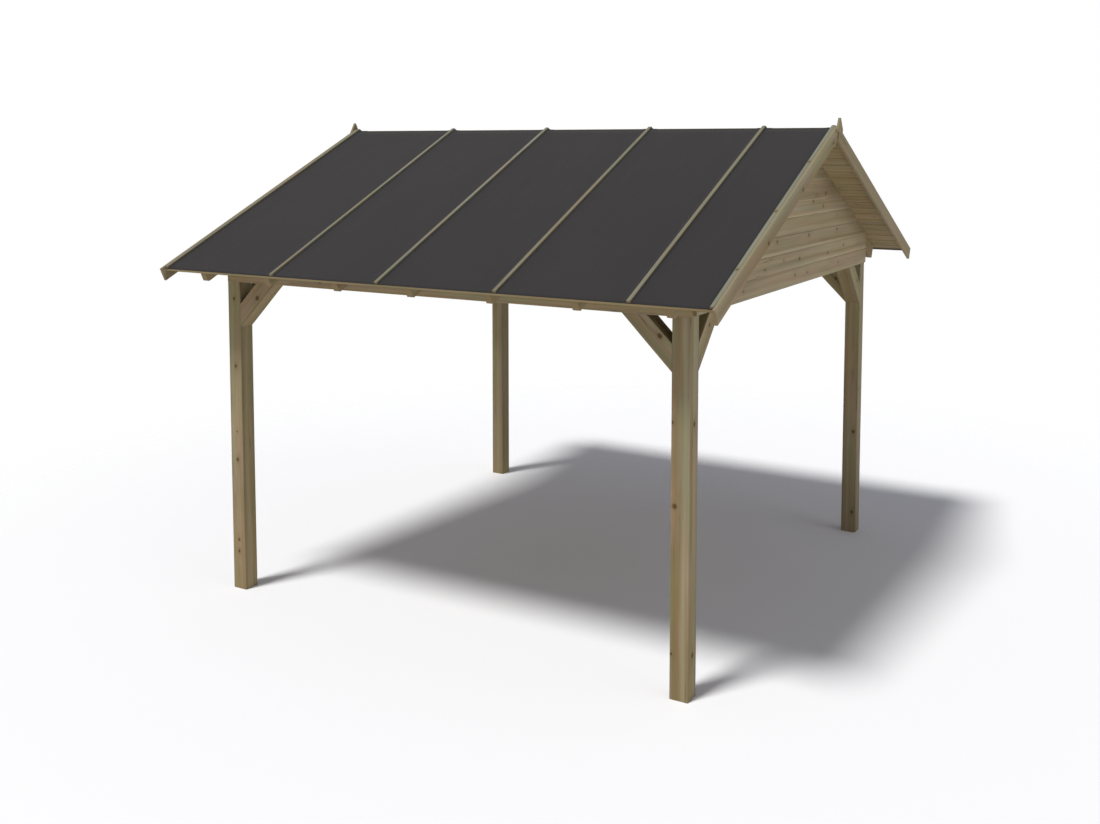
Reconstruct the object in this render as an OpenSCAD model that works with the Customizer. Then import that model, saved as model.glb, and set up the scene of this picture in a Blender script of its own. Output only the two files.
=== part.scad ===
// Open garden shelter in softwood: four posts with knee braces carry wall
// plates, tie beams and a pitched roof of boards, felt and laths.
// X runs along the ridge, Y from the front eave to the back eave, Z up.
// The origin is the middle of the plan, at ground level.

/* [Frame] */
// Length along the ridge, over the outer faces of the posts
frame_length = 3680; // [2600:10:5400]
// Depth across the ridge, over the outer faces of the posts
frame_depth = 3680; // [2600:10:5400]
// Side of the square posts, and width of the beams that lie on them
post_w = 120; // [90:5:150]
// Height of the posts, from the ground to the underside of the beams
post_h = 2305; // [1900:5:2800]
// Height of the wall plates and tie beams
beam_h = 160; // [110:5:240]

/* [Knee braces] */
// Width of a brace, seen in the plane that it stands in
brace_w = 120; // [70:5:160]
// Clear distance from the corner under a beam to the upper edge of a brace
brace_inset = 160; // [80:5:300]

/* [Roof frame] */
// Slope of the roof, in degrees
roof_pitch = 24.9; // [15:0.1:38]
// Number of rafter pairs, evenly spaced between the two gables
rafter_pairs = 7; // [5:1:9]
// Thickness of a rafter
rafter_w = 45; // [35:1:70]
// Depth of a rafter, square to the slope
rafter_d = 100; // [80:1:180]
// Length of the level seat that each rafter has on its wall plate
rafter_seat = 66; // [20:1:70]
// Reach of the rafter tails past the posts
tail_reach = 275; // [120:5:320]
// Corner taken off the foot of each rafter tail
tail_chamfer = 8; // [0:1:25]
// Thickness of the ridge board
ridge_w = 45; // [30:1:70]
// Depth of the ridge board at its sides
ridge_d = 95; // [80:1:160]

/* [Roof cover] */
// Thickness of the roof boards
board_t = 20; // [16:1:28]
// Reach of the roof boards past the posts at the eaves
eave_reach = 325; // [280:5:500]
// Reach of the roof boards past the posts at the gables
gable_reach = 277.5; // [120:2.5:450]
// Thickness of the roofing felt
felt_t = 3; // [2:0.5:6]
// Distance from the left edge of the roof to the first inner lath
first_lath = 1017.5; // [600:2.5:1100]
// Distance between the inner laths, which cover the joints of the felt
lath_pitch = 900; // [700:10:950]
// Width of a lath
lath_w = 25; // [18:1:45]
// Thickness of a lath
lath_t = 15; // [10:1:25]
// Distance from the edge of the felt up to the foot of a lath
lath_setback = 5; // [0:1:30]

/* [Gables] */
// Thickness of the cladding
cladding_t = 20; // [14:1:26]
// Height of the lower edge of the cladding above the underside of the tie beam
cladding_lift = 10; // [0:1:60]
// Distance from each end of the cladding to the corner of the frame
cladding_inset = 35; // [0:1:60]
// Thickness of the bargeboards
barge_t = 20; // [16:1:30]
// Width of the bargeboards, square to the slope
barge_w = 98; // [70:1:150]
// Height of their upper edges above the felt
barge_lift = 15; // [0:1:20]
// Distance from the middle of the gable to their upper ends, cut upright
barge_start = 12; // [0:1:30]
// Reach of the bargeboards past the edge of the roof boards
barge_reach = 30; // [10:1:60]
// Thickness of the pointed board on each apex
peak_t = 18; // [12:1:25]
// Width of the pointed board
peak_w = 108; // [50:1:120]
// Width of its blunt tip
peak_tip_w = 10; // [6:1:20]
// Height of its tip above the felt at the ridge
peak_rise = 66; // [40:1:140]
// Length of its square foot, below the tapered part
peak_foot = 24; // [10:1:60]
// Depth of its lower edge below the felt at the ridge
peak_drop = 36; // [20:1:80]

/* [Fits] */
// Clearance round a piece that passes through another, or between two ends
fit_gap = 0.3; // [0.2:0.1:1]

/* [Hidden] */
half_length = frame_length / 2;
half_depth = frame_depth / 2;
plate_top = post_h + beam_h;

// The roof's layers are measured square to the slope from the plane of the
// rafters' upper edges, which crosses the ridge line at roof_top.
pitch_tan = tan(roof_pitch);
pitch_cos = cos(roof_pitch);
pitch_sin = sin(roof_pitch);
roof_top = plate_top + (half_depth - rafter_seat) * pitch_tan + rafter_d / pitch_cos;
felt_level = board_t + felt_t;
felt_top = roof_top + felt_level / pitch_cos;
roof_half_length = half_length + gable_reach;
board_end = (half_depth + eave_reach) / pitch_cos;
tail_end = (half_depth + tail_reach) / pitch_cos;
ridge_side_top = roof_top - ridge_w / 2 * pitch_tan;
ridge_foot = ridge_side_top - ridge_d;

SIDES = [["left", -1], ["right", 1]];
SLOPES = [["front", -1], ["back", 1]];
CORNERS = [for (slope = SLOPES) for (side = SIDES)
    [str(slope[0], "_", side[0]), side[1], slope[1]]];
RAFTERS = [for (i = [1 : rafter_pairs])
    let (step = (frame_length - rafter_w) / (rafter_pairs - 1))
    [str("rafter_pair_", i), (i - 1) * step - (frame_length - rafter_w) / 2]];
LATH_SPOTS = concat(
    [lath_w / 2 - roof_half_length],
    [for (x = first_lath - roof_half_length; x < roof_half_length - 2 * lath_w; x = x + lath_pitch) x],
    [roof_half_length - lath_w / 2]);
LATHS = [for (i = [0 : len(LATH_SPOTS) - 1]) [str("lath_pair_", i + 1), LATH_SPOTS[i]]];

TIMBER = "#a79668";
TRIM = "#b3a275";
BOARDS = "#8f7c4c";
FELT = "#444244";

// A point of the back slope: down along the slope from the ridge line, then
// up square to it.
function slope_point(down, level) = [
    down * pitch_cos + level * pitch_sin,
    roof_top - down * pitch_sin + level * pitch_cos];

// A point of the back slope on an upright plane beside the ridge.
function ridge_point(level, aside = 0) = [
    aside, roof_top + level / pitch_cos - aside * pitch_tan];

// A profile drawn in Y and Z, made solid from x_low to x_high.
module along_ridge(x_low, x_high) {
    translate([x_low, 0, 0])
        rotate([90, 0, 90])
            linear_extrude(x_high - x_low)
                children();
}

// A profile drawn in Y and Z, made solid outward from the plane at x_near, on
// the left for side -1 or on the right for side 1.
module outward(side, x_near, thickness) {
    if (side > 0)
        along_ridge(x_near, x_near + thickness) children();
    else
        along_ridge(-x_near - thickness, -x_near) children();
}

// What is drawn for the back slope, turned over to the front for slope -1.
module on_slope(slope) {
    mirror([0, slope < 0 ? 1 : 0, 0]) children();
}

// One flat layer of a roof slope, from an upright end beside the ridge to a
// square-cut lower end.
module slope_layer(low, high, end, aside = 0) {
    polygon([
        ridge_point(low, aside),
        slope_point(end, low),
        slope_point(end, high),
        ridge_point(high, aside)]);
}

module post(side, slope) {
    color(TIMBER)
        translate([side * (half_length - post_w / 2), slope * (half_depth - post_w / 2), post_h / 2])
            cube([post_w, post_w, post_h], center = true);
}

module wall_plate(slope) {
    color(TIMBER)
        translate([0, slope * (half_depth - post_w / 2), post_h + beam_h / 2])
            cube([frame_length, post_w, beam_h], center = true);
}

module tie_beam(side) {
    color(TIMBER)
        translate([side * (half_length - post_w / 2), 0, post_h + beam_h / 2])
            cube([post_w, frame_depth - 2 * post_w, beam_h], center = true);
}

// A brace at 45 degrees in X and Z, from its post at x = 0 toward +X, with
// the underside of its beam at z = 0.
module brace() {
    reach = brace_inset + brace_w * sqrt(2);
    translate([0, post_w / 2, 0])
        rotate([90, 0, 0])
            linear_extrude(post_w)
                polygon([[0, -brace_inset], [brace_inset, 0], [reach, 0], [0, -reach]]);
}

module eave_brace(side, slope) {
    color(TIMBER)
        translate([side * (half_length - post_w), slope * (half_depth - post_w / 2), post_h])
            rotate([0, 0, side > 0 ? 180 : 0])
                brace();
}

module gable_brace(side, slope) {
    color(TIMBER)
        translate([side * (half_length - post_w / 2), slope * (half_depth - post_w), post_h])
            rotate([0, 0, -90 * slope])
                brace();
}

module ridge_board() {
    color(TIMBER)
        along_ridge(-roof_half_length, roof_half_length)
            polygon([
                [-ridge_w / 2, ridge_foot],
                [ridge_w / 2, ridge_foot],
                [ridge_w / 2, ridge_side_top],
                [0, roof_top],
                [-ridge_w / 2, ridge_side_top]]);
}

// A rafter is cut upright against the ridge board, notched over the wall
// plate, and cut square to the slope at its tail.
module rafter_pair(x) {
    color(TIMBER)
        for (slope = [-1, 1])
            on_slope(slope)
                along_ridge(x - rafter_w / 2, x + rafter_w / 2)
                    polygon([
                        ridge_point(0, ridge_w / 2),
                        ridge_point(-rafter_d, ridge_w / 2),
                        [half_depth - rafter_seat, plate_top],
                        [half_depth, plate_top],
                        [half_depth, plate_top - rafter_seat * pitch_tan],
                        slope_point(tail_end - tail_chamfer, -rafter_d),
                        slope_point(tail_end, tail_chamfer - rafter_d),
                        slope_point(tail_end, 0)]);
}

module roof_boards(slope) {
    color(BOARDS)
        on_slope(slope)
            along_ridge(-roof_half_length, roof_half_length)
                slope_layer(0, board_t, board_end);
}

module roof_felt(slope) {
    color(FELT)
        on_slope(slope)
            along_ridge(-roof_half_length, roof_half_length)
                slope_layer(board_t, felt_level, board_end);
}

module lath_pair(x) {
    color(TRIM)
        for (slope = [-1, 1])
            on_slope(slope)
                along_ridge(x - lath_w / 2, x + lath_w / 2)
                    slope_layer(felt_level, felt_level + lath_t, board_end - lath_setback, fit_gap);
}

// The cladding fills a gable up to the roof boards, with a slot for the ridge
// board.
module gable_cladding(side) {
    foot = post_h + cladding_lift;
    reach = half_depth - cladding_inset;
    slot = ridge_w / 2 + fit_gap;
    color(TRIM)
        outward(side, half_length, cladding_t)
            difference() {
                polygon([
                    [-reach, foot],
                    [reach, foot],
                    ridge_point(0, reach),
                    [0, roof_top],
                    [-reach, ridge_point(0, reach)[1]]]);
                translate([-slot, ridge_foot - fit_gap])
                    square([2 * slot, roof_top - ridge_foot + 2 * fit_gap]);
            }
}

// The two bargeboards of a gable stop short of each other, behind the pointed
// board.
module bargeboard(side, slope) {
    color(TRIM)
        on_slope(slope)
            outward(side, roof_half_length, barge_t)
                slope_layer(
                    felt_level + barge_lift - barge_w,
                    felt_level + barge_lift,
                    board_end + barge_reach,
                    barge_start);
}

module apex_point(side) {
    foot = felt_top - peak_drop;
    color(TRIM)
        outward(side, roof_half_length + barge_t, peak_t)
            polygon([
                [-peak_w / 2, foot],
                [peak_w / 2, foot],
                [peak_w / 2, foot + peak_foot],
                [peak_tip_w / 2, felt_top + peak_rise],
                [-peak_tip_w / 2, felt_top + peak_rise],
                [-peak_w / 2, foot + peak_foot]]);
}

for (corner = CORNERS) {
    post(corner[1], corner[2]);
    eave_brace(corner[1], corner[2]);
    gable_brace(corner[1], corner[2]);
    bargeboard(corner[1], corner[2]);
}
for (slope = SLOPES) {
    wall_plate(slope[1]);
    roof_boards(slope[1]);
    roof_felt(slope[1]);
}
for (side = SIDES) {
    tie_beam(side[1]);
    gable_cladding(side[1]);
    apex_point(side[1]);
}
for (rafter = RAFTERS)
    rafter_pair(rafter[1]);
for (lath = LATHS)
    lath_pair(lath[1]);
ridge_board();
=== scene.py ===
"""The finished look of the open garden shelter: every timber, board, lath and
strip of felt as a piece of its own, in metres, in the part's own frame."""
import math

import bpy
import numpy as np
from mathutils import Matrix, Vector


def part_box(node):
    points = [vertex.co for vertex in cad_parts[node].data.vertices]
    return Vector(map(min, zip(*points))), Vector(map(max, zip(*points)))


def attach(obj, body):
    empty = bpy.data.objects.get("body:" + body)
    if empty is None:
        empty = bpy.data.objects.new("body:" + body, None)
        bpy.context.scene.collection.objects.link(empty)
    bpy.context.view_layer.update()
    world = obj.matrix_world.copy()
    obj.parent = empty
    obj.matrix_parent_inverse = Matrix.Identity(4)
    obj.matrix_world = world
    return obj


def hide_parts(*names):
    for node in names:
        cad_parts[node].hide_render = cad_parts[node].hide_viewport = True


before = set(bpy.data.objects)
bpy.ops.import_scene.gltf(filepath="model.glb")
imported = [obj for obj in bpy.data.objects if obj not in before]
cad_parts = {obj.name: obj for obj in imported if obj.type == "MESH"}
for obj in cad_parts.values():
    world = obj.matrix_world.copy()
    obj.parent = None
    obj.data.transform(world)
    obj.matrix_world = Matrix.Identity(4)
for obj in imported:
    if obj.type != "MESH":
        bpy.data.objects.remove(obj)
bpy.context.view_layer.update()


# ---------------------------------------------------------------- the frame
def corners(node):
    """The corner points of one CAD node, a row each."""
    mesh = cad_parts[node].data
    flat = np.empty(len(mesh.vertices) * 3, np.float32)
    mesh.vertices.foreach_get("co", flat)
    return flat.reshape(-1, 3).astype(float)


x, y, z = corners("roof_boards_back").T
ROOF_TOP = z[abs(y) < 1e-4].min()
EAVE = z.argmin()
PITCH = math.atan2(ROOF_TOP - z[EAVE], y[EAVE])
COS, SIN, TAN = math.cos(PITCH), math.sin(PITCH), math.tan(PITCH)


def span(node):
    """Where a node is on its roof slope: its x range, its lowest and highest
    level over the plane of the rafters' upper edges, and how far down the
    slope from the ridge it reaches."""
    x, y, z = corners(node).T
    level = abs(y) * SIN + (z - ROOF_TOP) * COS
    down = abs(y) * COS - (z - ROOF_TOP) * SIN
    return x.min(), x.max(), level.min(), level.max(), down.max()


POST_LOW, POST_HIGH = (np.array(c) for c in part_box("post_back_right"))
POST_W = POST_HIGH[0] - POST_LOW[0]
HALF_LENGTH, HALF_DEPTH, POST_H = POST_HIGH
PLATE_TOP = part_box("wall_plate_back")[1].z
RAFTER_D = -span("rafter_pair_1")[2]
RAFTER_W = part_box("rafter_pair_1")[1].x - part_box("rafter_pair_1")[0].x
TAIL_END = span("rafter_pair_1")[4]
RIDGE_LOW, RIDGE_HIGH = (np.array(c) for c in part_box("ridge_board"))
LAY_X0, LAY_X1, _, BOARD_T, LAY_END = span("roof_boards_back")
FELT_LEVEL = span("roof_felt_back")[3]

X, Y, Z = np.eye(3)
SLOPES = {"front": -1, "back": 1}
SIDES = {"left": -1, "right": 1}


def down_slope(side):
    return np.array([0, side * COS, -SIN])


def off_slope(side):
    return np.array([0, side * SIN, COS])


def on_slope(side, x, down, level):
    """A point on a roof slope: its place along the ridge, its distance down
    the slope and its level over the plane of the rafters' upper edges."""
    return X * x + down_slope(side) * down + off_slope(side) * level + Z * ROOF_TOP


RAFTERS, LATHS = 7, 6
# how far the edges are rounded: stout timbers, boards, and thin pieces
FRAME_EDGE, EDGE, THIN_EDGE = 0.004, 0.003, 0.002
# the gap beside a board that stops against another
GAP = 0.0003
# the spacing of knots on a timber that has only those it is given
NO_KNOTS = 99
# the place relative to the nearest knot of a face that has none
FAR = 9.0
# half lengths of bands that run along a whole timber, fading a little towards
# its ends or not at all, and the half width of one that covers a whole side
LONG, EVEN, WHOLE = 9, 99, 9.0


# ------------------------------------------------------------ mesh building
def rounded(width, depth, radius, steps=3):
    """Outline of a planed timber: a rectangle about the middle whose corners
    are quarter circles, corner centre + radius * (cos a, sin a)."""
    a = np.arange(4)[:, None] * math.pi / 2 + np.linspace(0, math.pi / 2, steps + 1)
    sign = np.array([[1, 1], [-1, 1], [-1, -1], [1, -1]])[:, None]
    centre = sign * (np.array([width, depth]) / 2 - radius)
    return (centre + radius * np.stack([np.cos(a), np.sin(a)], -1)).reshape(-1, 2)


def divided(ring, pitch):
    """The same outline with extra points, so that no edge is longer than the
    pitch and bands of colour can run along the flat sides."""
    ring = np.array(ring, float)
    parts = []
    for a, b in zip(ring, np.roll(ring, -1, axis=0)):
        count = max(1, math.ceil(np.hypot(*(b - a)) / pitch))
        parts.append(a + (b - a) * (np.arange(count) / count)[:, None])
    return np.concatenate(parts)


def side_of(ring):
    """For each edge of an outline, the flat side that it belongs to: 0 and 1
    face along +/- the second axis, 2 and 3 along +/- the first."""
    edge = np.roll(ring, -1, axis=0) - ring
    out = np.stack([edge[:, 1], -edge[:, 0]], -1)
    if (ring[:, 0] * np.roll(ring[:, 1], -1) - np.roll(ring[:, 0], -1) * ring[:, 1]).sum() < 0:
        out = -out
    flat = abs(out[:, 1]) >= abs(out[:, 0])
    return np.where(flat, np.where(out[:, 1] > 0, 0, 1), np.where(out[:, 0] > 0, 2, 3))


def tube(points, local, ring, knots=((), (), (), ()), tone=(0, 0), curved=(), bands=((), (), (), ())):
    """Joins rings of points into a closed tube. Points and local (distance
    along the grain, then the two ways across it) are grids of ring by ring.
    Each wall face gets its place relative to the nearest knot of its side,
    and the sum of the bands that cross it: tone, cast and weathering, each
    times exp(-(across / half width + wave)^2 - (along / half length)^2),
    where the wave is 0.4 sin(2.3 along + 40 middle)."""
    rows, count = points.shape[:2]
    index = np.arange(rows * count).reshape(rows, count)
    nxt = np.roll(index, -1, axis=1)
    quads = np.stack([index[:-1], nxt[:-1], nxt[1:], index[1:]], -1)
    sides = side_of(ring)
    flat = local.reshape(-1, 3)
    at = flat[quads]
    near = np.full(at.shape, FAR)
    board = np.zeros(at.shape)
    board[..., :2] = tone
    for side in range(4):
        chosen = np.where(sides == side)[0]
        part = at[:, chosen]
        for middle, width, paler, greener, greyer, along, length in bands[side]:
            off = (part[..., 1 if side < 2 else 2] - middle) / width
            off = off + 0.4 * np.sin(2.3 * part[..., 0] + 40 * middle)
            weight = np.exp(-off ** 2 - ((part[..., 0] - along) / length) ** 2)
            board[:, chosen] += weight[..., None] * (paler, greener, -greyer)
        spots = np.array(knots[side], float).reshape(-1, 3)
        if len(spots) == 0 or len(chosen) == 0:
            continue
        middle = part[..., 0].mean(-1)
        best = abs(middle[..., None] - spots[:, 0]).argmin(-1)
        spot = spots[best][:, :, None]
        across = part[..., 1] if side < 2 else part[..., 2]
        near[:, chosen] = np.stack([
            part[..., 0] - spot[..., 0],
            across - spot[..., 1],
            np.broadcast_to(spot[..., 2], across.shape)], -1)
    smooth = np.zeros(quads.shape[:2], bool)
    smooth[:, list(curved)] = True
    caps = np.stack([index[0][::-1], index[-1]])
    return dict(
        points=points.reshape(-1, 3), quads=quads.reshape(-1, 4), caps=caps, grain=flat,
        near=near.reshape(-1, 3), smooth=smooth.ravel(), board=board.reshape(-1, 3), tone=tone)


def piece(name, parts, nodes, material):
    """One object from several tubes, standing for the CAD nodes named."""
    points, loops, totals, grain, near, board, smooth = [], [], [], [], [], [], []
    base = 0
    for part in parts:
        count = part["caps"].shape[1]
        corner = np.concatenate([part["quads"].ravel(), part["caps"].ravel()])
        points.append(part["points"])
        loops.append(corner + base)
        totals.append(np.repeat([4, count], [len(part["quads"]), 2]))
        grain.append(part["grain"][corner])
        near.append(np.concatenate([part["near"], np.full((2 * count, 3), FAR)]))
        board.append(np.concatenate([part["board"], np.tile([*part["tone"], 1.0], (2 * count, 1))]))
        smooth.append(np.concatenate([part["smooth"], [False, False]]))
        base += len(part["points"])
    points, loops, totals = (np.concatenate(v) for v in (points, loops, totals))
    mesh = bpy.data.meshes.new(name)
    mesh.vertices.add(len(points))
    mesh.vertices.foreach_set("co", points.astype(np.float32).ravel())
    mesh.loops.add(len(loops))
    mesh.loops.foreach_set("vertex_index", loops.astype(np.int32))
    mesh.polygons.add(len(totals))
    mesh.polygons.foreach_set("loop_start", np.concatenate([[0], totals.cumsum()[:-1]]).astype(np.int32))
    mesh.polygons.foreach_set("use_smooth", np.concatenate(smooth))
    mesh.update(calc_edges=True)
    for key, values in (("grain", grain), ("knot", near), ("board", board)):
        made = mesh.attributes.new(key, "FLOAT_VECTOR", "CORNER")
        made.data.foreach_set("vector", np.concatenate(values).astype(np.float32).ravel())
    return shown(name, mesh, nodes, material)


def shown(name, mesh, nodes, material):
    """Puts a mesh in the scene as a part of the shelter."""
    mesh.materials.append(material)
    thing = bpy.data.objects.new(name, mesh)
    bpy.context.scene.collection.objects.link(thing)
    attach(thing, "root")
    if nodes:
        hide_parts(*nodes)
    return thing


# ----------------------------------------------------------------- timbers
LOG = np.random.default_rng(24)
# an edge of an outline shorter than this belongs to a rounded corner
CORNER = 0.0026


def scattered(length, sizes, given, every, radius):
    """Knots for the four sides of a timber: those that are given as side,
    along, across, size, and away from them about one every so many metres, at
    random, on sides wider than 50 mm. A spacing over nine lengths gives none."""
    found = []
    for side in range(4):
        width = sizes[0] if side < 2 else sizes[1]
        mine = [g[1:] for g in given if g[0] == side]
        if width > 0.05 and every < length * 9:
            count = max(1, round(length / every))
            for i in range(count):
                spot = (i + LOG.uniform(0.15, 0.85)) * length / count
                size = LOG.uniform(*radius)
                across = LOG.uniform(-0.36, 0.36) * width
                if LOG.random() < 0.72 and all(abs(spot - m[0]) > 0.16 for m in mine):
                    mine.append((spot, across, size))
        found.append(mine)
    return found


def banded(length, sizes, given):
    """Long bands of paler or darker, greener or redder, fresher or greyer
    wood for the four sides of a timber. Those that are given come as side,
    across, half width, tone, cast, grey, along and half length."""
    found = []
    for side in range(4):
        width = sizes[0] if side < 2 else sizes[1]
        mine = [b[1:] for b in given if b[0] == side]
        if not mine and width > 0.012:
            for _ in range(max(2, round(width / 0.014))):
                mine.append((
                    LOG.uniform(-0.5, 0.5) * width, LOG.uniform(0.004, 0.015), LOG.normal(0, 0.9),
                    LOG.normal(0, 0.9), LOG.uniform(-0.2, 0.4), LOG.uniform(0, length),
                    LOG.uniform(0.15, 1.6)))
        found.append(mine)
    return found


def timber(origin, along, up, ring, start, end, every=0.33, radius=(0.005, 0.011), given=(),
           tone=None, pith=None, bow=0.0006, spacing=0.09, bands=()):
    """A straight timber: its outline is carried along the grain from one cut
    to the other. A cut is a list of planes (normal, offset), and each line of
    the outline runs between the last starting and the first ending plane. At
    the part t of its length it is off the straight by
    bow * sin(pi t) * sin(3 t or 4 t + phase), across and up."""
    along, up = np.array(along, float), np.array(up, float)
    across = np.cross(up, along)
    ring = divided(ring, 0.010)
    if (ring[:, 0] * np.roll(ring[:, 1], -1) - np.roll(ring[:, 0], -1) * ring[:, 1]).sum() < 0:
        ring = ring[::-1]
    lines = origin + ring[:, :1] * across + ring[:, 1:] * up
    first = np.max([(d - lines @ n) / (along @ n) for n, d in start], axis=0)
    last = np.min([(d - lines @ n) / (along @ n) for n, d in end], axis=0)
    rows = max(3, math.ceil((last.max() - first.min()) / spacing)) + 1
    t = np.linspace(0, 1, rows)[:, None]
    s = first + t * (last - first)
    phase = LOG.uniform(0, 6.28, 2)
    sway = bow * np.sin(math.pi * t) * (np.sin(3 * t + phase[0]), np.sin(4 * t + phase[1]))
    points = lines + s[..., None] * along + sway[0][..., None] * across + sway[1][..., None] * up
    size = np.ptp(ring, axis=0)
    if pith is None:
        pith = LOG.uniform(-0.4, 0.4) * size[0], LOG.choice([-1, 1]) * LOG.uniform(0.02, 0.07)
    shift = np.array([LOG.uniform(0, 40), -pith[0], -pith[1]])
    length = np.mean(last - first)
    knots = scattered(length, size, given, every, radius)
    bands = banded(length, size, bands)
    base = first.min()
    knots = [[(k[0] + base, *k[1:]) for k in side] for side in knots]
    bands = [[(*b[:5], b[5] + base, b[6]) for b in side] for side in bands]
    local = np.stack(np.broadcast_arrays(s, ring[:, 0], ring[:, 1]), -1)
    if tone is None:
        tone = LOG.uniform(-1, 1, 2)
    edge = np.hypot(*(np.roll(ring, -1, axis=0) - ring).T)
    made = tube(points, local, ring, knots, tone, np.where(edge < CORNER)[0], bands)
    made["grain"] = made["grain"] + shift
    return made


# --------------------------------------------------------------- materials
class Value:
    """A number, vector or colour in a shader. Arithmetic on it adds Math nodes."""

    def __init__(self, tree, socket):
        self.tree, self.socket = tree, socket

    def math(self, operation, *others):
        return self.tree.node("Math", {"operation": operation}, dict(enumerate((self, *others))))

    def other(self, out):
        return Value(self.tree, self.socket.node.outputs[out])

    def __add__(self, other):
        return self.math("ADD", other)

    def __sub__(self, other):
        return self.math("SUBTRACT", other)

    def __rsub__(self, other):
        return self.tree.node("Math", {"operation": "SUBTRACT"}, {0: other, 1: self})

    def __mul__(self, other):
        return self.math("MULTIPLY", other)

    def __truediv__(self, other):
        return self.math("DIVIDE", other)

    def __rtruediv__(self, other):
        return self.tree.node("Math", {"operation": "DIVIDE"}, {0: other, 1: self})

    def __pow__(self, other):
        return self.math("POWER", other)

    __radd__ = __add__
    __rmul__ = __mul__


class Finish:
    """The shader of a material or a world under construction."""

    def __init__(self, owner):
        self.owner = owner
        owner.use_nodes = True
        self.graph = owner.node_tree
        self.graph.nodes.clear()

    def node(self, kind, settings=None, sockets=None, out=0):
        """Adds a node of any type, with its settings and then its sockets."""
        made = self.graph.nodes.new("ShaderNode" + kind)
        for key, value in (settings or {}).items():
            setattr(made, key, value)
        for key, value in (sockets or {}).items():
            if isinstance(value, Value):
                self.graph.links.new(value.socket, made.inputs[key])
            else:
                made.inputs[key].default_value = value
        return Value(self, made.outputs[out] if len(made.outputs) else None)

    def attribute(self, name):
        return self.node("Attribute", {"attribute_name": name}, out=1)

    def parts(self, vector):
        first = self.node("SeparateXYZ", sockets={0: vector})
        return first, first.other(1), first.other(2)

    def noise(self, vector, scale, detail=2.0, rough=0.5):
        """Noise on a vector that is first stretched by three factors."""
        seen = self.node("VectorMath", {"operation": "MULTIPLY"}, {0: vector, 1: scale})
        return self.node("TexNoise", sockets={
            "Vector": seen, "Scale": 1.0, "Detail": detail, "Roughness": rough})

    def step(self, value, low, high):
        """Rises smoothly from 0 at low to 1 at high."""
        return self.node("MapRange", {"interpolation_type": "SMOOTHSTEP"}, {0: value, 1: low, 2: high})

    def wave(self, value, pitch):
        """Rises and falls between 0 and 1 once in each pitch."""
        return (value * (2 * math.pi / pitch)).math("SINE") * 0.5 + 0.5

    def mix(self, factor, a, b):
        return self.node("Mix", {"data_type": "RGBA"}, {0: factor, 6: a, 7: b}, out=2)

    def bump(self, height, distance, strength=1.0):
        return self.node("Bump", sockets={"Height": height, "Distance": distance, "Strength": strength})

    def surface(self, **sockets):
        shader = self.node("BsdfPrincipled", sockets={k.replace("_", " "): v for k, v in sockets.items()})
        self.node("OutputMaterial", sockets={"Surface": shader})
        return self.owner

    def looked_at(self):
        """1 for rays of the camera, of glossy mirroring and through glass."""
        path = self.node("LightPath")
        return (path + path.other(3) + path.other(6)).math("MINIMUM", 1.0)


def shade(red, green, blue):
    """A colour as a painter names it, 0 to 255, in the linear scale."""
    v = np.array([red, green, blue]) / 255
    v = np.where(v <= 0.04045, v / 12.92, ((v + 0.055) / 1.055) ** 2.4)
    return (*v.tolist(), 1.0)


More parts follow.
